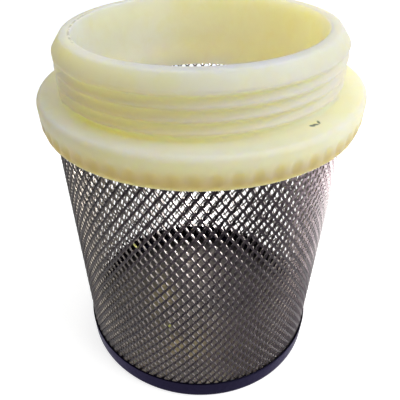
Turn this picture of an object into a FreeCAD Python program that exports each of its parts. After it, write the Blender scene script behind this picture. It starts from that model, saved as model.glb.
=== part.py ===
import FreeCAD, Part
import math
import os

# Suction strainer of a foot valve: a moulded nylon collar with a 2 inch BSP male
# thread, a rolled diamond-mesh sleeve, and a pressed end cap. Millimetres, +Z up
# along the water path, origin at the middle of the base.

V = FreeCAD.Vector

# ---- driving dimensions -------------------------------------------------------
THREAD_MAJOR_R = 29.807     # 2 inch BSP parallel thread, 59.614 mm over the crests
THREAD_PITCH = 2.309        # 11 threads per inch
THREAD_DEPTH = 1.479        # Whitworth form, 55 degrees
THREAD_MINOR_R = THREAD_MAJOR_R - THREAD_DEPTH
THREAD_FLANK = 27.5         # half angle, degrees
GROOVE_TOP_Z = 80.35        # middle of the uppermost full groove, at the front
PARTING = (-158.0, 22.0)    # the mould's parting lines, degrees round the axis
PARTING_LAND = (-17.0, 1.0) # the grooves stop short of each parting line by these angles
TOP_Z = 84.45               # overall height
TOP_FACE_R = 27.90          # outer edge of the top face
LEAD_Z = 81.75              # foot of the lead-in chamfer
BORE_R = 25.60              # smooth water way
BORE_EDGE_R = 0.25          # rounded upper edge of the bore
BORE_END_Z = 67.00          # lower edge of the bore
UNDERSIDE_R = 30.60         # the underside rises towards the bore inside this radius

FLANGE_TOP_Z = 73.00        # seating face for the gasket
FLANGE_R = 34.63
FLANGE_CORNER_R = 1.10      # rounded top corner of the flange
SKIRT_SHOULDER_Z = 68.04    # the skirt narrows below this height
SKIRT_END_Z = 66.30
SKIRT_END_R = 34.14
SKIRT_EDGE_R = 0.45         # rounded lower edge

RIB_COUNT = 60              # hand grip: shallow flutes between narrow ribs
FLUTE_R = 2.10
FLUTE_DEPTH = 0.38
FLUTE_END_Z = 69.10         # centre of the flute's rounded upper end

MESH_R_TOP = 32.09          # outside of the sleeve where it meets the collar
MESH_R_BOTTOM = 31.50       # outside of the sleeve where it leaves the end cap
MESH_WALL = 0.15            # solid wall that holds the same metal as the open mesh
MESH_EMBED_Z = 70.00        # the mesh runs this far up inside the moulding
MESH_START_Z = 1.20         # lower edge of the mesh, inside the end cap

CAP_RIM_Z = 5.60            # top edge of the end cap's wall
CAP_GAUGE = 0.42            # sheet the cap is pressed from
CAP_FLOOR = 0.50
CAP_CORNER_R = 1.00         # outside corner of the pressing


def mesh_r(z):
    """Outside radius of the sleeve at height z."""
    t = (z - CAP_RIM_Z) / (SKIRT_END_Z - CAP_RIM_Z)
    return MESH_R_BOTTOM + t * (MESH_R_TOP - MESH_R_BOTTOM)


def revolve(points):
    """Solid of revolution about Z from (radius, z) points; 'arc' entries are
    ('arc', (r, z) mid, (r, z) end)."""
    edges = []
    first = points[0]
    here = first
    for item in points[1:] + [first]:
        if item[0] == "arc":
            mid, end = item[1], item[2]
            edges.append(Part.Arc(V(here[0], 0, here[1]), V(mid[0], 0, mid[1]),
                                  V(end[0], 0, end[1])).toShape())
            here = end
        elif math.dist(here, item) > 1e-6:
            edges.append(Part.makeLine(V(here[0], 0, here[1]), V(item[0], 0, item[1])))
            here = item
    face = Part.Face(Part.Wire(edges))
    return face.revolve(V(0, 0, 0), V(0, 0, 1), 360)


def sector(solid, start, end):
    """The part of a solid between two angles round the axis."""
    wedge = Part.makeCylinder(FLANGE_R + 6.0, 30.0, V(0, 0, SKIRT_END_Z - 5.0), V(0, 0, 1), end - start)
    wedge.rotate(V(0, 0, 0), V(0, 0, 1), start)
    return solid.common(wedge)


def corner_mid(cx, cz, r, degrees):
    a = math.radians(degrees)
    return (cx + r * math.cos(a), cz + r * math.sin(a))


# ---- mesh sleeve --------------------------------------------------------------
def sleeve(wall):
    a, b = MESH_START_Z, MESH_EMBED_Z
    return revolve([(mesh_r(a) - wall, a), (mesh_r(a), a), (mesh_r(b), b), (mesh_r(b) - wall, b)])


mesh_sleeve = sleeve(MESH_WALL)


# ---- threaded collar ----------------------------------------------------------
def thread_groove():
    """Helical cutter for the male thread: a V section with a flat root, swept from
    just above the flange to the lead-in chamfer."""
    z_front_low = GROOVE_TOP_Z - 3 * THREAD_PITCH
    # the sweep starts in the left land and ends, four turns up, in the same land
    before, after = 76.0, 284.0
    start_angle = -90.0 - before
    start_z = z_front_low - THREAD_PITCH * before / 360.0
    turns = 3.0 + (before + after) / 360.0
    half_root = THREAD_PITCH / 12.0
    proud = 0.25             # the section stays narrower than the pitch, so that the turns never touch
    half_top = half_root + (THREAD_DEPTH + proud) * math.tan(math.radians(THREAD_FLANK))
    helix = Part.makeHelix(THREAD_PITCH, turns * THREAD_PITCH, THREAD_MAJOR_R)
    r_in, r_out = THREAD_MINOR_R, THREAD_MAJOR_R + proud
    pts = [V(r_in, 0, -half_root), V(r_in, 0, half_root), V(r_out, 0, half_top),
           V(r_out, 0, -half_top), V(r_in, 0, -half_root)]
    profile = Part.makePolygon(pts)
    sweep = Part.Wire(helix).makePipeShell([profile], True, True)
    sweep.rotate(V(0, 0, 0), V(0, 0, 1), start_angle)
    sweep.translate(V(0, 0, start_z))
    # the flange's top face stays whole
    sweep = sweep.common(Part.makeCylinder(FLANGE_R + 5.0, 20.0, V(0, 0, FLANGE_TOP_Z)))
    return sweep


def flutes():
    cutters = []
    axis_r = FLANGE_R + FLUTE_R - FLUTE_DEPTH
    for i in range(RIB_COUNT):
        c = Part.makeCylinder(FLUTE_R, FLUTE_END_Z - 60.0, V(axis_r, 0, 60.0), V(0, 0, 1))
        s = Part.makeSphere(FLUTE_R, V(axis_r, 0, FLUTE_END_Z))
        k = c.fuse(s)
        k.rotate(V(0, 0, 0), V(0, 0, 1), i * 360.0 / RIB_COUNT)
        cutters.append(k)
    return Part.makeCompound(cutters)


fr, fz, cr = FLANGE_R, FLANGE_TOP_Z, FLANGE_CORNER_R
er = SKIRT_EDGE_R
be = BORE_EDGE_R
blank = revolve([
    (BORE_R + be, TOP_Z),
    (TOP_FACE_R - 0.45, TOP_Z),
    ("arc", (TOP_FACE_R - 0.08, TOP_Z - 0.15), (TOP_FACE_R + 0.22, TOP_Z - 0.50)),
    (THREAD_MAJOR_R, LEAD_Z),
    (THREAD_MAJOR_R, fz),
    (fr - cr, fz),
    ("arc", corner_mid(fr - cr, fz - cr, cr, 45), (fr, fz - cr)),
    (fr, SKIRT_SHOULDER_Z),
    (SKIRT_END_R + 0.10, SKIRT_END_Z + er),
    ("arc", corner_mid(SKIRT_END_R + 0.06 - er, SKIRT_END_Z + er, er, -45), (SKIRT_END_R - er, SKIRT_END_Z)),
    (UNDERSIDE_R, SKIRT_END_Z),
    (BORE_R, BORE_END_Z),
    (BORE_R, TOP_Z - be),
    ("arc", corner_mid(BORE_R + be, TOP_Z - be, be, 135), (BORE_R + be, TOP_Z)),
])
threaded = blank.cut(thread_groove())
# each half of the mould has a plain land beside its parting line, where the halves
# must draw apart, then two sectors of thread
sectors = []
for line in PARTING:
    a, b = line + PARTING_LAND[0], line + PARTING_LAND[1]
    sectors += [sector(blank, a, b), sector(threaded, b, b + 81.0), sector(threaded, b + 81.0, a + 180.0)]
threaded_collar = sectors[0].multiFuse(sectors[1:])
threaded_collar = threaded_collar.cut(flutes())
threaded_collar = threaded_collar.cut(mesh_sleeve)

# ---- end cap ------------------------------------------------------------------
g, cc, f = CAP_GAUGE, CAP_CORNER_R, CAP_FLOOR
rb = mesh_r(MESH_START_Z) + g - 0.06
wall_in_low = mesh_r(MESH_START_Z)
end_cap = revolve([
    (0.0, 0.0),
    (rb - cc, 0.0),
    ("arc", corner_mid(rb - cc, cc, cc, -45), (rb, cc)),
    (mesh_r(CAP_RIM_Z) + g, CAP_RIM_Z - 0.15),
    ("arc", (mesh_r(CAP_RIM_Z) + g / 2, CAP_RIM_Z + 0.03), (mesh_r(CAP_RIM_Z - 0.15), CAP_RIM_Z - 0.15)),
    (wall_in_low, MESH_START_Z),
    ("arc", corner_mid(wall_in_low - 0.7, MESH_START_Z, 0.7, -45), (wall_in_low - 0.7, f)),
    (0.0, f),
])

nodes = {
    "threaded_collar": threaded_collar,
    "mesh_sleeve": mesh_sleeve,
    "end_cap": end_cap,
}

os.makedirs("parts", exist_ok=True)
for name, shape in nodes.items():
    solids = shape.Solids
    shape = solids[0] if len(solids) == 1 else Part.makeCompound(solids)
    bb = shape.BoundBox
    print("%-16s solids %d valid %s volume %.1f  x %.2f..%.2f z %.2f..%.2f" % (
        name, len(solids), shape.isValid(), shape.Volume, bb.XMin, bb.XMax, bb.ZMin, bb.ZMax))
    shape.exportStep("parts/%s.step" % name)
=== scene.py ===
import bpy
import math
import numpy as np
from mathutils import Matrix, Vector


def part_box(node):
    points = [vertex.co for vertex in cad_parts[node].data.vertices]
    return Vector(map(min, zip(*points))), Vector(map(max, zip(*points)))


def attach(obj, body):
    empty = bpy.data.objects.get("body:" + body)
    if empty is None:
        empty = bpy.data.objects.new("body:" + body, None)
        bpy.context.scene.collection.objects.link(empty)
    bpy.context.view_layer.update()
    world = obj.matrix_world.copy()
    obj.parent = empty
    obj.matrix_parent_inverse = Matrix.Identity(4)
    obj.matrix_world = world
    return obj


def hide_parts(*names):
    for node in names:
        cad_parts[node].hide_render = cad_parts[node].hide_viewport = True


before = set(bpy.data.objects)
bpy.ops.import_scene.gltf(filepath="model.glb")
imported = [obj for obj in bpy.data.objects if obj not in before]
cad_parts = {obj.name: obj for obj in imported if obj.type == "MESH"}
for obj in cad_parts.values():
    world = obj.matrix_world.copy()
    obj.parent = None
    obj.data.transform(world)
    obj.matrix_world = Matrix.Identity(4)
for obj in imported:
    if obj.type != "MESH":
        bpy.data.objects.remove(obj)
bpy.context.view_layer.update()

MM = 0.001
TAU = 2.0 * math.pi

# ------------------------------------------------------------------------------
# sizes in millimetres: the envelope is read from the CAD nodes, the rest follows
# the design
# ------------------------------------------------------------------------------
collar_lo, collar_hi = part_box("threaded_collar")
cap_lo, cap_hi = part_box("end_cap")
sleeve_lo, sleeve_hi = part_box("mesh_sleeve")
TOP_Z = collar_hi.z / MM
FLANGE_R = collar_hi.x / MM
CAP_RIM_Z = cap_hi.z / MM

THREAD_R = 29.807
PITCH = 2.309
FORM_ROUND = 0.175         # crest and root rounding, of the pitch; the standard's own is 0.137
GROOVE_TOP_Z = 80.35
TOP_FACE_R = 27.90
LEAD_Z = 81.75
BORE_R = 25.60
BORE_EDGE = 0.25
FOOT_R = 29.45
FOOT_FILLET = 0.90
BORE_END_Z = 67.00
UNDERSIDE_R = 30.60
PARTING = (math.radians(-158.0), math.radians(22.0))
FLANGE_TOP_Z = 73.00
FLANGE_CORNER = 1.10
SHOULDER_Z = 68.04
SKIRT_END_Z = 66.30
SKIRT_END_R = 34.14
RIBS = 60
FLUTE_R = 2.10
FLUTE_DEPTH = 0.38
FLUTE_END_Z = 69.10
MESH_R_TOP = 32.09
MESH_R_BOTTOM = 31.50


def mesh_radius(z):
    t = (z - 5.60) / (SKIRT_END_Z - 5.60)
    return MESH_R_BOTTOM + t * (MESH_R_TOP - MESH_R_BOTTOM)


def smooth01(x):
    x = np.clip(x, 0.0, 1.0)
    return x * x * (3.0 - 2.0 * x)


# ------------------------------------------------------------------------------
# mesh helpers
# ------------------------------------------------------------------------------
def make_object(name, verts_mm, faces, material, smooth=True, sharp_deg=None):
    me = bpy.data.meshes.new(name)
    me.from_pydata([tuple(v) for v in (np.asarray(verts_mm, float) * MM)], [], faces)
    me.validate()
    me.update()
    ob = bpy.data.objects.new(name, me)
    bpy.context.scene.collection.objects.link(ob)
    me.materials.append(material)
    if smooth:
        me.polygons.foreach_set("use_smooth", [True] * len(me.polygons))
        if sharp_deg is not None:
            me.set_sharp_from_angle(angle=math.radians(sharp_deg))
    return ob


def ring_noise(theta, s, seed, waves):
    """Smooth periodic unevenness over angle and length along the section: a small sum of waves."""
    rng = np.random.RandomState(seed)
    out = np.zeros(np.broadcast(theta, s).shape)
    for k, length, amp in waves:
        a, b = rng.uniform(0, TAU, 2)
        out = out + amp * np.sin(k * theta + a) * np.cos(TAU * s / length + b)
    return out


def arc_points(cx, cz, r, a0, a1, n):
    return [(cx + r * math.cos(math.radians(a)), cz + r * math.sin(math.radians(a)))
            for a in np.linspace(a0, a1, n)]


def line_points(p, q, n):
    """Points from p to q, without p."""
    return [(p[0] + (q[0] - p[0]) * t, p[1] + (q[1] - p[1]) * t) for t in np.linspace(0, 1, n + 1)[1:]]


def lathe(name, rings, material, closed=True, sharp_deg=None):
    """rings: array (segments, points, 3) in mm, each a closed section round the axis."""
    n, m, _ = rings.shape
    verts = rings.reshape(-1, 3)
    faces = []
    for i in range(n):
        j = (i + 1) % n
        for k in range(m if closed else m - 1):
            l = (k + 1) % m
            faces.append((i * m + k, i * m + l, j * m + l, j * m + k))
    return make_object(name, verts, faces, material, sharp_deg=sharp_deg)


# ------------------------------------------------------------------------------
# shader helpers
# ------------------------------------------------------------------------------
class Nodes:
    def __init__(self, name):
        self.mat = bpy.data.materials.new(name)
        self.mat.use_nodes = True
        self.tree = self.mat.node_tree
        self.tree.nodes.clear()
        self.out = self.tree.nodes.new("ShaderNodeOutputMaterial")
        self.bsdf = self.tree.nodes.new("ShaderNodeBsdfPrincipled")
        self.tree.links.new(self.bsdf.outputs[0], self.out.inputs["Surface"])
        self.coords = self.tree.nodes.new("ShaderNodeTexCoord")

    def node(self, kind, **values):
        n = self.tree.nodes.new(kind)
        for key, value in values.items():
            if key.startswith("i_"):
                n.inputs[key[2:].replace("_", " ")].default_value = value
            else:
                setattr(n, key, value)
        return n

    def link(self, a, b):
        self.tree.links.new(a, b)

    def noise(self, scale, detail=4.0, rough=0.55, vector=None, distortion=0.0):
        n = self.node("ShaderNodeTexNoise", i_Scale=scale, i_Detail=detail, i_Roughness=rough, i_Distortion=distortion)
        self.link(vector or self.coords.outputs["Object"], n.inputs["Vector"])
        return n.outputs["Fac"]

    def ramp(self, fac, stops, interpolation="LINEAR"):
        n = self.node("ShaderNodeValToRGB")
        n.color_ramp.interpolation = interpolation
        els = n.color_ramp.elements
        while len(els) < len(stops):
            els.new(0.5)
        for e, (pos, col) in zip(els, stops):
            e.position = pos
            e.color = (*col, 1.0) if len(col) == 3 else col
        self.link(fac, n.inputs["Fac"])
        return n.outputs["Color"]

    def span(self, value, lo, hi, to_lo=0.0, to_hi=1.0):
        n = self.node("ShaderNodeMapRange", interpolation_type="SMOOTHSTEP")
        self.link(value, n.inputs["Value"])
        n.inputs["From Min"].default_value = lo
        n.inputs["From Max"].default_value = hi
        n.inputs["To Min"].default_value = to_lo
        n.inputs["To Max"].default_value = to_hi
        return n.outputs["Result"]

    def math(self, op, a, b=None):
        n = self.node("ShaderNodeMath", operation=op)
        for i, x in enumerate((a, b)):
            if x is None:
                continue
            if hasattr(x, "is_output"):
                self.link(x, n.inputs[i])
            else:
                n.inputs[i].default_value = x
        return n.outputs[0]

    def mix(self, fac, a, b, blend="MIX"):
        n = self.node("ShaderNodeMix", data_type="RGBA", blend_type=blend)
        for sock, x in ((n.inputs[0], fac), (n.inputs[6], a), (n.inputs[7], b)):
            if hasattr(x, "is_output"):
                self.link(x, sock)
            elif isinstance(x, (int, float)):
                sock.default_value = x
            else:
                sock.default_value = (*x, 1.0)
        return n.outputs[2]

    def spot(self, centre_mm, size_mm, edge=0.5, vector=None):
        """1 inside an ellipsoid round a point of the object, 0 outside it, with a soft edge."""
        place = self.node("ShaderNodeMapping", vector_type="POINT")
        place.inputs["Location"].default_value = tuple(-c / s for c, s in zip(centre_mm, size_mm))
        place.inputs["Scale"].default_value = tuple(1000.0 / s for s in size_mm)
        self.link(vector or self.coords.outputs["Object"], place.inputs["Vector"])
        far = self.node("ShaderNodeVectorMath", operation="LENGTH")
        self.link(place.outputs["Vector"], far.inputs[0])
        return self.span(far.outputs["Value"], 1.0 - edge, 1.0, 1.0, 0.0)

    def bump(self, height, strength, distance, normal=None):
        n = self.node("ShaderNodeBump", i_Strength=strength, i_Distance=distance)
        self.link(height, n.inputs["Height"])
        if normal is not None:
            self.link(normal, n.inputs["Normal"])
        return n.outputs["Normal"]


def xyz(n):
    s = n.node("ShaderNodeSeparateXYZ")
    n.link(n.coords.outputs["Object"], s.inputs[0])
    return s.outputs["X"], s.outputs["Y"], s.outputs["Z"]


# ------------------------------------------------------------------------------
# materials
# ------------------------------------------------------------------------------
def nylon_material():
    n = Nodes("moulded_ivory_nylon")
    x, y, z = xyz(n)
    broad = n.noise(55.0, 3.0, 0.5)
    mottled = n.noise(260.0, 4.0, 0.6, distortion=0.4)
    fine = n.noise(2600.0, 3.0, 0.6)
    cream = n.mix(n.span(broad, 0.35, 0.68), (0.885, 0.795, 0.575), (0.920, 0.850, 0.655))
    cream = n.mix(n.math("MULTIPLY", n.span(mottled, 0.45, 0.75), 0.30), cream, (0.860, 0.745, 0.380))
    # painted light: the thread's zone and the gasket face beside its foot are painted golden on the crests, the colour
    # of light passed through the thin nylon, and paler in the groove roots, painted light that evens out their shade
    radius = n.math("SQRT", n.math("ADD", n.math("MULTIPLY", x, x), n.math("MULTIPLY", y, y)))
    outside = n.span(radius, 0.0262, 0.0276)
    painted_tint_zone = n.math("MULTIPLY", n.span(z, 0.0806, 0.0818, 1.0, 0.0), n.span(z, 0.0722, 0.0732))
    painted_tint_zone = n.math("MULTIPLY", n.math("MULTIPLY", painted_tint_zone, n.span(radius, 0.0302, 0.0330, 1.0, 0.0)), outside)
    crest = n.span(radius, 0.0286, 0.0297)
    cream = n.mix(n.math("MULTIPLY", n.math("MULTIPLY", painted_tint_zone, crest), 0.45), cream, (1.0, 0.890, 0.540))
    root = n.math("MULTIPLY", painted_tint_zone, n.math("SUBTRACT", 1.0, crest))
    cream = n.mix(n.math("MULTIPLY", root, 0.85), cream, (1.0, 0.935, 0.710))
    # the thread's painted golden tint is painted paler on the left-hand side, round the parting line there
    painted_pale_left = n.math("MULTIPLY", n.math("MULTIPLY", painted_tint_zone, n.span(x, -0.0275, -0.0215, 1.0, 0.0)), 0.65)
    cream = n.mix(painted_pale_left, cream, (1.0, 0.925, 0.860))
    # painted shade: the grip is painted dark brown towards its bottom edge
    low = n.math("MULTIPLY", n.span(z, 0.0668, 0.0712, 0.95, 0.0), outside)
    cream = n.mix(low, cream, (0.430, 0.300, 0.170))
    # small dark inclusions in the resin
    spots = n.node("ShaderNodeTexVoronoi", feature="F1", i_Scale=110.0, i_Randomness=1.0)
    n.link(n.coords.outputs["Object"], spots.inputs["Vector"])
    pick = n.node("ShaderNodeSeparateColor")
    n.link(spots.outputs["Color"], pick.inputs[0])
    rare = n.math("GREATER_THAN", pick.outputs[0], 0.93)
    dot = n.math("LESS_THAN", spots.outputs["Distance"], 0.045)
    speck = n.math("MULTIPLY", n.math("MULTIPLY", rare, dot), 0.55)
    cream = n.mix(speck, cream, (0.20, 0.17, 0.10))
    # bits caught in the surface: a curled dark fibre on the flange, and grains in the thread
    for centre, size in (((17.9, -25.0, 73.0), (0.75, 0.48, 0.8)), ((18.6, -24.6, 73.0), (0.75, 0.42, 0.8)),
                         ((19.3, -23.8, 73.0), (0.36, 0.85, 0.8))):
        cream = n.mix(n.math("MULTIPLY", n.spot(centre, size, 0.6), 0.90), cream, (0.035, 0.085, 0.060))
    for centre, size, depth in (((-23.2, -18.3, 77.3), (0.42, 0.42, 0.36), 0.85), ((-25.1, -15.7, 75.1), (0.30, 0.30, 0.26), 0.55),
                                ((-24.4, -16.6, 76.1), (0.24, 0.24, 0.20), 0.45)):
        cream = n.mix(n.math("MULTIPLY", n.spot(centre, size, 0.6), depth), cream, (0.110, 0.085, 0.045))
    # painted shade: a thin dark line along the bore's upper edge, on the left, broken up by noise
    edge = n.math("MULTIPLY", n.span(radius, 0.02560, 0.02585), n.span(radius, 0.02600, 0.02640, 1.0, 0.0))
    edge = n.math("MULTIPLY", edge, n.math("MULTIPLY", n.span(x, -0.0248, -0.0225, 1.0, 0.0), n.span(z, 0.0836, 0.0840)))
    edge = n.math("MULTIPLY", edge, n.span(n.noise(700.0, 3.0, 0.6), 0.38, 0.55, 0.15, 0.75))
    cream = n.mix(edge, cream, (0.400, 0.340, 0.220))
    n.link(cream, n.bsdf.inputs["Base Color"])
    n.link(n.span(n.noise(420.0, 5.0, 0.65), 0.3, 0.75, 0.50, 0.66), n.bsdf.inputs["Roughness"])
    n.bsdf.inputs["Specular IOR Level"].default_value = 0.35
    n.bsdf.inputs["IOR"].default_value = 1.53
    n.bsdf.inputs["Subsurface Weight"].default_value = 1.0
    n.bsdf.inputs["Subsurface Radius"].default_value = (1.0, 0.74, 0.18)
    n.bsdf.inputs["Subsurface Scale"].default_value = 0.0300
    rough = n.bump(fine, 0.10, 0.00006)
    wavy = n.bump(n.noise(170.0, 2.0, 0.5), 0.22, 0.0005, rough)
    n.link(wavy, n.bsdf.inputs["Normal"])
    return n.mat


def steel_material(name, dark, light, inside, slit_painted_light, rough_lo, rough_hi, grain_scale):
    n = Nodes(name)
    x, y, z = xyz(n)
    blotch = n.noise(90.0, 4.0, 0.6)
    fine = n.noise(1500.0, 4.0, 0.65)
    tone = n.mix(n.span(blotch, 0.35, 0.7), dark, light)
    tint = n.noise(38.0, 3.0, 0.5, distortion=0.6)
    tone = n.mix(n.math("MULTIPLY", n.span(tint, 0.42, 0.7), 0.35), tone, (0.075, 0.056, 0.068))
    # painted light and reflection: the outer face is painted dark, standing in for the dark surroundings it reflects;
    # the inner face and the slit edges are painted bright, partly bare steel and partly painted light for the light on
    # the far wall's inside and for glints along the strands
    face = n.node("ShaderNodeAttribute", attribute_name="painted_light_face").outputs["Fac"]
    # painted shade: low down, near the cap's floor, the inner face is painted dark
    inner_painted_light_and_shade = n.mix(n.span(z, 0.0075, 0.0125, 1.0, 0.0), inside, dark)
    tone = n.mix(n.math("GREATER_THAN", face, 0.25), tone, inner_painted_light_and_shade)
    tone = n.mix(n.math("GREATER_THAN", face, 0.75), tone, slit_painted_light)
    # specks of dirt caught in the mesh
    for centre, size in (((-14.4, -28.4, 50.1), (0.8, 0.8, 0.8)), ((-8.9, -30.5, 27.6), (0.9, 0.9, 0.8))):
        tone = n.mix(n.math("MULTIPLY", n.spot(centre, size, 0.5), 0.75), tone, (0.420, 0.430, 0.110))
    n.link(tone, n.bsdf.inputs["Base Color"])
    n.bsdf.inputs["Metallic"].default_value = 1.0
    n.link(n.span(fine, 0.3, 0.75, rough_lo, rough_hi), n.bsdf.inputs["Roughness"])
    n.link(n.bump(n.noise(grain_scale, 5.0, 0.7), 0.25, 0.00005), n.bsdf.inputs["Normal"])
    return n.mat


def cap_material():
    n = Nodes("pressed_cap_steel")
    x, y, z = xyz(n)
    mapping = n.node("ShaderNodeMapping")
    mapping.inputs["Scale"].default_value = (60.0, 2600.0, 60.0)
    n.link(n.coords.outputs["Object"], mapping.inputs["Vector"])
    grain = n.noise(1.0, 5.0, 0.7, vector=mapping.outputs["Vector"])
    blotch = n.noise(70.0, 4.0, 0.6, distortion=0.5)
    tone = n.mix(n.span(blotch, 0.35, 0.7), (0.120, 0.110, 0.112), (0.185, 0.172, 0.150))
    tone = n.mix(n.math("MULTIPLY", n.span(grain, 0.4, 0.7), 0.4), tone, (0.11, 0.102, 0.110))
    # painted reflection: the outer wall is painted near black, with a blue-violet specular tint, standing in for the
    # dark surroundings it reflects
    flat = n.math("MULTIPLY", x, x)
    flat = n.math("SQRT", n.math("ADD", flat, n.math("MULTIPLY", y, y)))
    outer_wall_painted_dark = n.span(flat, 0.0303, 0.0309)
    # a lighter yellowish patch across the floor inside, broken up by noise
    lighter_floor_patch = n.math("MAXIMUM", n.spot((-10.5, 4.0, 0.5), (6.5, 19.0, 3.0), 0.9), n.spot((-4.0, -16.0, 0.5), (9.0, 8.0, 3.0), 0.9))
    lighter_floor_patch = n.math("MULTIPLY", lighter_floor_patch, n.span(n.noise(160.0, 4.0, 0.6, distortion=0.8), 0.35, 0.62))
    tone = n.mix(n.math("MULTIPLY", lighter_floor_patch, 0.85), tone, (0.330, 0.285, 0.165))
    # painted reflection: near black on the outer wall, and a blue-violet specular tint
    tone = n.mix(outer_wall_painted_dark, tone, (0.008, 0.007, 0.017))
    n.link(n.mix(outer_wall_painted_dark, (1.0, 1.0, 1.0), (0.62, 0.60, 0.74)), n.bsdf.inputs["Specular Tint"])
    n.link(tone, n.bsdf.inputs["Base Color"])
    n.bsdf.inputs["Metallic"].default_value = 1.0
    n.link(n.span(n.noise(900.0, 4.0, 0.65), 0.3, 0.75, 0.30, 0.46), n.bsdf.inputs["Roughness"])
    scratched = n.bump(grain, 0.18, 0.00004)
    n.link(n.bump(n.noise(120.0, 2.0, 0.5), 0.18, 0.0004, scratched), n.bsdf.inputs["Normal"])
    return n.mat


def card_material():
    n = Nodes("white_card")
    tone = n.mix(n.span(n.noise(3.0, 2.0, 0.5), 0.35, 0.65), (0.54, 0.54, 0.54), (0.57, 0.57, 0.57))
    n.link(tone, n.bsdf.inputs["Base Color"])
    n.bsdf.inputs["Roughness"].default_value = 0.9
    n.bsdf.inputs["Specular IOR Level"].default_value = 0.1
    # a light table under the card makes it glow a little
    n.bsdf.inputs["Emission Color"].default_value = (1.0, 1.0, 1.0, 1.0)
    n.bsdf.inputs["Emission Strength"].default_value = 0.74
    return n.mat


def bench_material():
    n = Nodes("grey_bench")
    tone = n.mix(n.span(n.noise(6.0, 3.0, 0.5), 0.35, 0.65), (0.16, 0.15, 0.155), (0.20, 0.19, 0.19))
    n.link(tone, n.bsdf.inputs["Base Color"])
    n.bsdf.inputs["Roughness"].default_value = 0.8
    return n.mat


# ------------------------------------------------------------------------------
# threaded collar
# ------------------------------------------------------------------------------
def thread_form():
    """Half of the rounded 55 degree thread form: axial distance from the groove's middle to depth."""
    rho = FORM_ROUND * PITCH
    flank = math.radians(27.5)
    half = PITCH / 2
    a = np.linspace(0, math.pi / 2 - flank, 12)
    root_x = rho * np.sin(a)
    depth = (half - 2 * rho * math.sin(math.pi / 2 - flank)) / math.tan(flank) + 2 * rho * (1 - math.sin(flank))
    root_d = depth - rho * (1 - np.cos(a))
    crest_x = half - rho * np.sin(a[::-1])
    crest_d = rho * (1 - np.cos(a[::-1]))
    return np.concatenate([root_x, crest_x]), np.concatenate([root_d, crest_d])


FORM_X, FORM_D = thread_form()


def around(theta, centre):
    """Distance along the thread's crest from the angle centre, in mm, signed."""
    return ((theta - centre + math.pi) % TAU - math.pi) * THREAD_R


def parting_fill(theta):
    """How far the mould's parting line fills the grooves: each half is relieved on one side of it."""
    fill = np.zeros(np.shape(theta))
    for centre in PARTING:
        d = around(theta, centre)
        fill = np.maximum(fill, smooth01((d + 9.5) / 2.5) * smooth01((0.55 - d) / 0.9))
    return fill


def parting_ridge(theta):
    """Height of the flash line along the parting line, in mm."""
    out = np.zeros(np.shape(theta))
    for centre in PARTING:
        out = np.maximum(out, 0.13 * np.exp(-(around(theta, centre) / 0.22) ** 2))
    return out


def groove_depth(theta, z):
    """Depth of the right-hand thread's groove at an angle and a height; the front is at turn 0."""
    z0 = GROOVE_TOP_Z - 3 * PITCH
    turn = (theta + math.pi / 2) / TAU
    k = np.round((z - z0) / PITCH - turn)
    depth = np.zeros(np.broadcast(theta, z).shape)
    for step in (-1, 0, 1):
        t = turn + k + step
        x = np.abs(z - z0 - PITCH * t)
        d = np.interp(x, FORM_X, FORM_D, right=0.0)
        fade = smooth01((t + 0.42) / 0.30) * smooth01((3.72 - t) / 0.22)
        depth = np.maximum(depth, d * fade)
    return depth * (1.0 - 0.92 * parting_fill(theta))


def collar_section():
    """Closed section of the collar, counter-clockwise from the top of the bore, as (r, z, kind)."""
    pts = []

    def add(points, kind):
        for p in points:
            pts.append((p[0], p[1], kind))

    c = BORE_EDGE
    add(arc_points(BORE_R + c, TOP_Z - c, c, 180, 90, 5), "bore")
    add(line_points((BORE_R + c, TOP_Z), (TOP_FACE_R - 0.55, TOP_Z), 3), "top")
    add(arc_points(TOP_FACE_R - 0.55, TOP_Z - 0.90, 0.90, 78, 38, 5), "top")
    top_r, top_z = pts[-1][0], pts[-1][1]
    for z in np.arange(83.85, FLANGE_TOP_Z + 0.10, -0.185):
        r = np.interp(z, [LEAD_Z, top_z], [THREAD_R, top_r]) if z > LEAD_Z else THREAD_R
        pts.append((float(r), float(z), "thread"))
    # the gasket face from the thread's foot, and the rounded corner
    add([(FOOT_R - 0.02, FLANGE_TOP_Z + 0.015), (FOOT_R + 0.25, FLANGE_TOP_Z)], "foot")
    add(line_points((FOOT_R + 0.25, FLANGE_TOP_Z), (FLANGE_R - FLANGE_CORNER - 0.1, FLANGE_TOP_Z), 5), "flange_top")
    add(arc_points(FLANGE_R - FLANGE_CORNER, FLANGE_TOP_Z - FLANGE_CORNER, FLANGE_CORNER, 84, 0, 8), "corner")
    for z in np.arange(FLANGE_TOP_Z - FLANGE_CORNER - 0.28, SHOULDER_Z, -0.30):
        pts.append((FLANGE_R, float(z), "grip"))
    for p in line_points((FLANGE_R, SHOULDER_Z + 0.1), (SKIRT_END_R + 0.10, SKIRT_END_Z + 0.45), 4):
        pts.append((p[0], p[1], "grip"))
    add(arc_points(SKIRT_END_R - 0.36, SKIRT_END_Z + 0.45, 0.45, -15, -90, 6), "grip")
    add(line_points((SKIRT_END_R - 0.36, SKIRT_END_Z), (UNDERSIDE_R, SKIRT_END_Z), 4), "under")
    add(line_points((UNDERSIDE_R, SKIRT_END_Z), (BORE_R + 0.25, BORE_END_Z - 0.02), 4), "under")
    add(arc_points(BORE_R + 0.25, BORE_END_Z + 0.23, 0.25, 262, 180, 4), "bore")
    add(line_points((BORE_R, BORE_END_Z + 0.25), (BORE_R, TOP_Z - 0.5), 7), "bore")
    return pts


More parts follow.
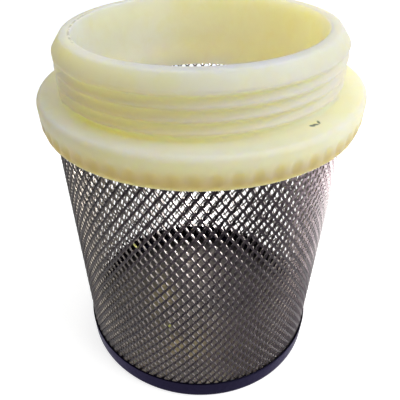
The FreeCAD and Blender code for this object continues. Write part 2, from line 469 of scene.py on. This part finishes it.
def build_collar(material):
    section = collar_section()
    r = np.array([p[0] for p in section])[None, :]
    z = np.array([p[1] for p in section])[None, :]
    kind = np.array([p[2] for p in section])
    n = 720
    theta = (np.arange(n) * TAU / n)[:, None]
    rr = np.repeat(r, n, 0)
    zz = np.repeat(z, n, 0)
    # thread: the groove's depth is measured from the crest cylinder
    th = (kind == "thread")[None, :]
    d = groove_depth(theta, zz)
    rr = np.where(th, np.minimum(rr, np.where(d > 0, THREAD_R - d, 99.0)), rr)
    rr = np.where(th, rr + parting_ridge(theta) * smooth01((TOP_Z - 0.6 - zz) / 1.0), rr)
    # a fillet fills the corner between the lowest groove and the gasket face
    drop = np.clip(FOOT_FILLET - (zz - FLANGE_TOP_Z), 0.0, FOOT_FILLET)
    fillet = FOOT_R - np.sqrt(np.maximum(FOOT_FILLET ** 2 - drop ** 2, 0.0))
    rr = np.where(th & (zz < FLANGE_TOP_Z + FOOT_FILLET), np.maximum(rr, fillet), rr)
    # grip: shallow flutes between narrow ribs, running out below the flange's corner
    axis_r = FLANGE_R + FLUTE_R - FLUTE_DEPTH
    phase = (theta * RIBS / TAU + 0.5) % 1.0 - 0.5
    lateral = phase * TAU / RIBS * FLANGE_R
    rise = np.maximum(zz - FLUTE_END_Z, 0.0)
    inside = FLUTE_R ** 2 - lateral ** 2 - rise ** 2
    flute = axis_r - np.sqrt(np.maximum(inside, 0.0))
    grip = ((kind == "grip") | (kind == "corner"))[None, :] & (inside > 0)
    soft = 0.10
    blend_r = -soft * np.logaddexp(-rr / soft, -flute / soft)
    rr = np.where(grip, np.minimum(rr, np.maximum(blend_r, np.minimum(rr, flute) - soft)), rr)
    # moulding unevenness, a few hundredths of a millimetre
    wob = ring_noise(theta, zz, 7, [(2, 60, 0.035), (3, 45, 0.030), (5, 31, 0.018), (9, 17, 0.012)])
    rr = rr - np.abs(wob)
    zz = zz - np.where((kind == "top")[None, :] | (kind == "flange_top")[None, :],
                       np.abs(ring_noise(theta, rr, 11, [(2, 40, 0.03), (4, 25, 0.02)])), 0.0)
    pts = np.stack([rr * np.cos(theta), rr * np.sin(theta), zz], -1)
    return lathe("collar_moulding", pts, material, sharp_deg=None)


# ------------------------------------------------------------------------------
# mesh sleeve: expanded diamond sheet rolled into a tube, with a lapped seam
# ------------------------------------------------------------------------------
CELLS = 92
ROW_MM = 1.5175            # half the diamond's height
MESH_Z0 = 2.10
MESH_ROWS = 44
STRAND = 0.57              # strand width across its length
SHEET = 0.33
TWIST = math.radians(36.0) # the slitting tool turns every strand the same way, most at its middle
LAP = 6                    # half cells of overlap at the seam
SEAM_ANGLE = math.radians(38.0)


def build_mesh(material):
    half_u = TAU / (2 * CELLS)
    step_u = half_u * 31.8
    cols = 2 * CELLS + LAP + 1
    a = math.atan2(ROW_MM, step_u)
    hw, ht = STRAND / 2, SHEET / 2
    inset = hw * math.sin(TWIST) + ht * math.cos(TWIST) + 0.02
    verts, faces, painted_light_face = [], [], []

    def place(i, j, du, dz, dw):
        """Sheet position: column i, row j, offsets in mm along the sheet, up it, and out of it."""
        z = MESH_Z0 + j * ROW_MM + dz
        lift = SHEET * 1.15 * smooth01((i + du / step_u - 2 * CELLS + LAP + 2.0) / 6.0)
        rad = mesh_radius(z) - inset + dw + lift * 0.6
        ang = SEAM_ANGLE + (i + du / step_u) * half_u
        verts.append((rad * math.cos(ang), rad * math.sin(ang), z))

    def face(corners_, kind):
        faces.append(corners_)
        painted_light_face.append(kind)

    # each joint carries two rings of six corners, outer and inner; its plate is turned only a little
    corners = {}
    side = hw / math.sin(a)
    flat = 0.14
    tall = hw / math.cos(a) - flat * math.tan(a) * 0.55
    ring = [(side, 0.0), (flat, tall), (-flat, tall), (-side, 0.0), (-flat, -tall), (flat, -tall)]
    for j in range(MESH_ROWS):
        for i in range(cols):
            if (i + j) % 2:
                continue
            corners[(i, j)] = len(verts)
            for w in (ht, -ht):
                for du, dz in ring:
                    place(i, j, du, dz, w + 0.22 * du)

    def v(node, layer, k):
        return corners[node] + layer * 6 + k

    # faces marked for the painted light in the steel's colour: the sheet's outer face, its inner face, and the edges
    # where it was slit
    OUTER, INNER, SLIT = 0.0, 0.5, 1.0

    def mid_ring(i, j, di):
        """Four corners at the middle of the strand that rises from a joint: low and high outer, low and high inner."""
        base = len(verts)
        along = (di * step_u, ROW_MM)
        length = math.hypot(*along)
        px, pz = ROW_MM / length, -di * step_u / length
        for s_, q in (((1 if di == 1 else -1) * hw, ht), ((-1 if di == 1 else 1) * hw, ht),
                      ((1 if di == 1 else -1) * hw, -ht), ((-1 if di == 1 else 1) * hw, -ht)):
            across = s_ * math.cos(TWIST) - q * math.sin(TWIST)
            out = s_ * math.sin(TWIST) + q * math.cos(TWIST)
            place(i, j, along[0] / 2 + px * across, along[1] / 2 + pz * across, out)
        return base

    def strip(lo0, hi0, lo1, hi1, flip, kind):
        face((lo0, lo1, hi1, hi0) if not flip else (hi0, hi1, lo1, lo0), kind)

    R, TR, TL, L, BL, BR = range(6)
    for (i, j) in list(corners):
        node = (i, j)
        # outer and inner plates of the joint
        face(tuple(v(node, 0, k) for k in (R, TR, TL, L, BL, BR)), OUTER)
        face(tuple(v(node, 1, k) for k in (BR, BL, L, TL, TR, R)), INNER)
        # short flats of the openings above and below the joint
        for p, q in ((TR, TL), (BL, BR)):
            face((v(node, 0, p), v(node, 1, p), v(node, 1, q), v(node, 0, q)), OUTER)
        for di in (1, -1):
            other = (i + di, j + 1)
            if other in corners:
                if di == 1:
                    lo0, hi0, lo1, hi1 = R, TR, BL, L
                else:
                    lo0, hi0, lo1, hi1 = L, TL, BR, R
                m = mid_ring(i, j, di)
                f = di == -1
                rows = [[v(node, 0, lo0), v(node, 0, hi0), v(node, 1, lo0), v(node, 1, hi0)],
                        [m, m + 1, m + 2, m + 3],
                        [v(other, 0, lo1), v(other, 0, hi1), v(other, 1, lo1), v(other, 1, hi1)]]
                for a0, a1 in zip(rows, rows[1:]):
                    strip(a0[0], a0[1], a1[0], a1[1], f, OUTER)
                    strip(a0[3], a0[2], a1[3], a1[2], f, INNER)
                    strip(a0[2], a0[0], a1[2], a1[0], f, SLIT)
                    strip(a0[1], a0[3], a1[1], a1[3], f, SLIT)
            else:
                p, q = (R, TR) if di == 1 else (TL, L)
                face((v(node, 0, p), v(node, 1, p), v(node, 1, q), v(node, 0, q)), SLIT)
            below = (i + di, j - 1)
            if below not in corners:
                p, q = (BR, R) if di == 1 else (L, BL)
                face((v(node, 0, p), v(node, 1, p), v(node, 1, q), v(node, 0, q)), SLIT)
    ob = make_object("diamond_mesh", np.array(verts), faces, material, smooth=True, sharp_deg=50.0)
    ob.data.attributes.new("painted_light_face", "FLOAT", "FACE").data.foreach_set("value", painted_light_face)
    return ob


# ------------------------------------------------------------------------------
# end cap
# ------------------------------------------------------------------------------
def build_cap(material):
    n = 320
    g = 0.42
    r_low = mesh_radius(1.2)
    r_top = mesh_radius(5.6)
    rb = r_low + g - 0.06
    outer = []
    outer += [(0.35, 0.0)] + line_points((0.35, 0.0), (rb - 3.0, 0.0), 8)
    outer += line_points((rb - 3.0, 0.0), (rb - 1.0, 0.0), 3)
    outer += arc_points(rb - 1.0, 1.0, 1.0, -80, 0, 9)
    outer += line_points((rb, 1.0), (r_top + g, 5.33), 7)
    outer += arc_points(r_top + g / 2, 5.40, g / 2, 10, 170, 7)
    outer += line_points((r_top, 5.35), (r_low, 1.25), 6)
    outer += arc_points(r_low - 0.70, 1.20, 0.70, -8, -90, 7)
    outer += line_points((r_low - 0.70, 0.50), (r_low - 4.0, 0.50), 3)
    outer += line_points((r_low - 4.0, 0.50), (0.35, 0.50), 8)
    sec = np.array(outer)
    theta = (np.arange(n) * TAU / n)[:, None]
    rr = np.repeat(sec[None, :, 0], n, 0)
    zz = np.repeat(sec[None, :, 1], n, 0)
    dish = np.clip(zz, 0, 0.5) * 0
    floor_wave = ring_noise(theta, rr, 5, [(1, 70, 0.05), (2, 44, 0.05), (3, 23, 0.03)])
    zz = zz + np.where((zz > 0.45) & (zz < 0.55), np.abs(floor_wave), 0.0)
    m = sec.shape[0]
    pts = np.stack([rr * np.cos(theta), rr * np.sin(theta), zz + dish], -1)
    verts = list(pts.reshape(-1, 3))
    faces = []
    for i in range(n):
        j = (i + 1) % n
        for k in range(m - 1):
            faces.append((i * m + k, j * m + k, j * m + k + 1, i * m + k + 1))
    # close the middle of the underside and of the floor
    verts.append((0, 0, 0.0)); low = len(verts) - 1
    verts.append((0, 0, 0.52)); high = len(verts) - 1
    for i in range(n):
        j = (i + 1) % n
        faces.append((low, j * m, i * m))
        faces.append((high, i * m + m - 1, j * m + m - 1))
    return make_object("pressed_cap", np.array(verts), faces, material, sharp_deg=None)


nylon = nylon_material()
# the dark outer tones are a painted dark reflection; the inner-face and slit-edge colours are partly painted light
mesh_steel = steel_material("mesh_steel_satin", (0.028, 0.023, 0.029), (0.050, 0.043, 0.049),
                            (0.24, 0.224, 0.203), (0.205, 0.192, 0.194), 0.34, 0.46, 2200.0)
cap_steel = cap_material()

collar = build_collar(nylon)
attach(collar, "root"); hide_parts("threaded_collar")
sleeve = build_mesh(mesh_steel)
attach(sleeve, "root"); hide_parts("mesh_sleeve")
cap = build_cap(cap_steel)
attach(cap, "root"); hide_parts("end_cap")

# ------------------------------------------------------------------------------
# stage, light and camera
# ------------------------------------------------------------------------------
def add_sheet(name, outline, z, material):
    me = bpy.data.meshes.new(name)
    me.from_pydata([(x, y, z) for x, y in outline], [], [tuple(range(len(outline)))])
    ob = bpy.data.objects.new(name, me)
    bpy.context.scene.collection.objects.link(ob)
    me.materials.append(material)
    return ob


# a white card under the object, spreading away from the viewer, on a grey bench
add_sheet("white_card", [(-0.095, -0.115), (0.60, -0.115), (0.90, 1.40), (-0.80, 1.40)], 0.0, card_material())
add_sheet("grey_bench", [(-3.0, -3.0), (3.0, -3.0), (3.0, 3.0), (-3.0, 3.0)], -0.0015, bench_material())


def area_light(name, loc, target, size, power, color=(1, 1, 1), size_y=None):
    data = bpy.data.lights.new(name, "AREA")
    data.energy = power
    data.size = size
    if size_y:
        data.shape = "RECTANGLE"
        data.size_y = size_y
    data.color = color
    ob = bpy.data.objects.new(name, data)
    bpy.context.scene.collection.objects.link(ob)
    ob.location = loc
    ob.rotation_euler = (Vector(target) - Vector(loc)).to_track_quat("-Z", "Y").to_euler()
    return ob


area_light("key_softbox", (0.45, -0.20, 0.62), (0, 0, 0.05), 0.45, 3.9)
# a light panel lying beside the object, out of the frame, glints on the steel's right-hand side
panel = area_light("low_panel", (0.27, -0.02, 0.002), (0.27, -0.02, 1.0), 0.36, 4.8, color=(1.0, 0.955, 0.88), size_y=0.26)
side = area_light("side_strip", (0.50, 0.26, 0.10), (0, 0, 0.04), 0.30, 64.0, color=(1.0, 0.955, 0.88))
only_steel = bpy.data.collections.new("lit_by_the_low_lights")
only_steel.objects.link(sleeve)
panel.light_linking.receiver_collection = only_steel
side.light_linking.receiver_collection = only_steel
area_light("top_softbox", (-0.05, 0.30, 0.70), (0, 0, 0.05), 0.60, 1.4)

world = bpy.data.worlds.new("studio_world")
world.use_nodes = True
sky = world.node_tree
background = sky.nodes["Background"]
background.inputs[0].default_value = (1.0, 1.0, 1.0, 1.0)
# the room is brighter on the window's side
heading = sky.nodes.new("ShaderNodeTexCoord")
split = sky.nodes.new("ShaderNodeSeparateXYZ")
window = sky.nodes.new("ShaderNodeMapRange")
window.inputs["From Min"].default_value = -1.0
window.inputs["To Min"].default_value = 0.245
window.inputs["To Max"].default_value = 0.345
sky.links.new(heading.outputs["Generated"], split.inputs[0])
sky.links.new(split.outputs["X"], window.inputs["Value"])
sky.links.new(window.outputs["Result"], background.inputs[1])
bpy.context.scene.world = world
bpy.context.scene.view_settings.view_transform = "Standard"
bpy.context.scene.view_settings.look = "None"

# camera: distances in crest radii of the thread, from the picture's perspective
UNIT = THREAD_R * MM
CAM = dict(roll=0.0436, f=446.31, D=3.1802, zc=3.6493, th=0.6548, cy=212.33, cx=168.69, xc=-0.2515)


def add_camera(c):
    right0 = Vector((1, 0, 0))
    up0 = Vector((0, math.sin(c["th"]), math.cos(c["th"])))
    fwd = Vector((0, math.cos(c["th"]), -math.sin(c["th"])))
    ca, sa = math.cos(c["roll"]), math.sin(c["roll"])
    right = right0 * ca - up0 * sa
    up = up0 * ca + right0 * sa
    dx, dy = c["cx"] - 200.0, c["cy"] - 200.0
    px = 200.0 + dx * ca + dy * sa
    py = 200.0 - dx * sa + dy * ca
    data = bpy.data.cameras.new("camera")
    data.sensor_width = 36.0
    data.lens = 36.0 * c["f"] / 400.0
    data.shift_x = (200.0 - px) / 400.0
    data.shift_y = (py - 200.0) / 400.0
    data.clip_start = 0.005
    data.clip_end = 20.0
    ob = bpy.data.objects.new("camera", data)
    bpy.context.scene.collection.objects.link(ob)
    m = Matrix((right, up, -fwd)).transposed().to_4x4()
    m.translation = Vector((c["xc"] * UNIT, -c["D"] * UNIT, c["zc"] * UNIT))
    ob.matrix_world = m
    bpy.context.scene.camera = ob
    return ob


add_camera(CAM)
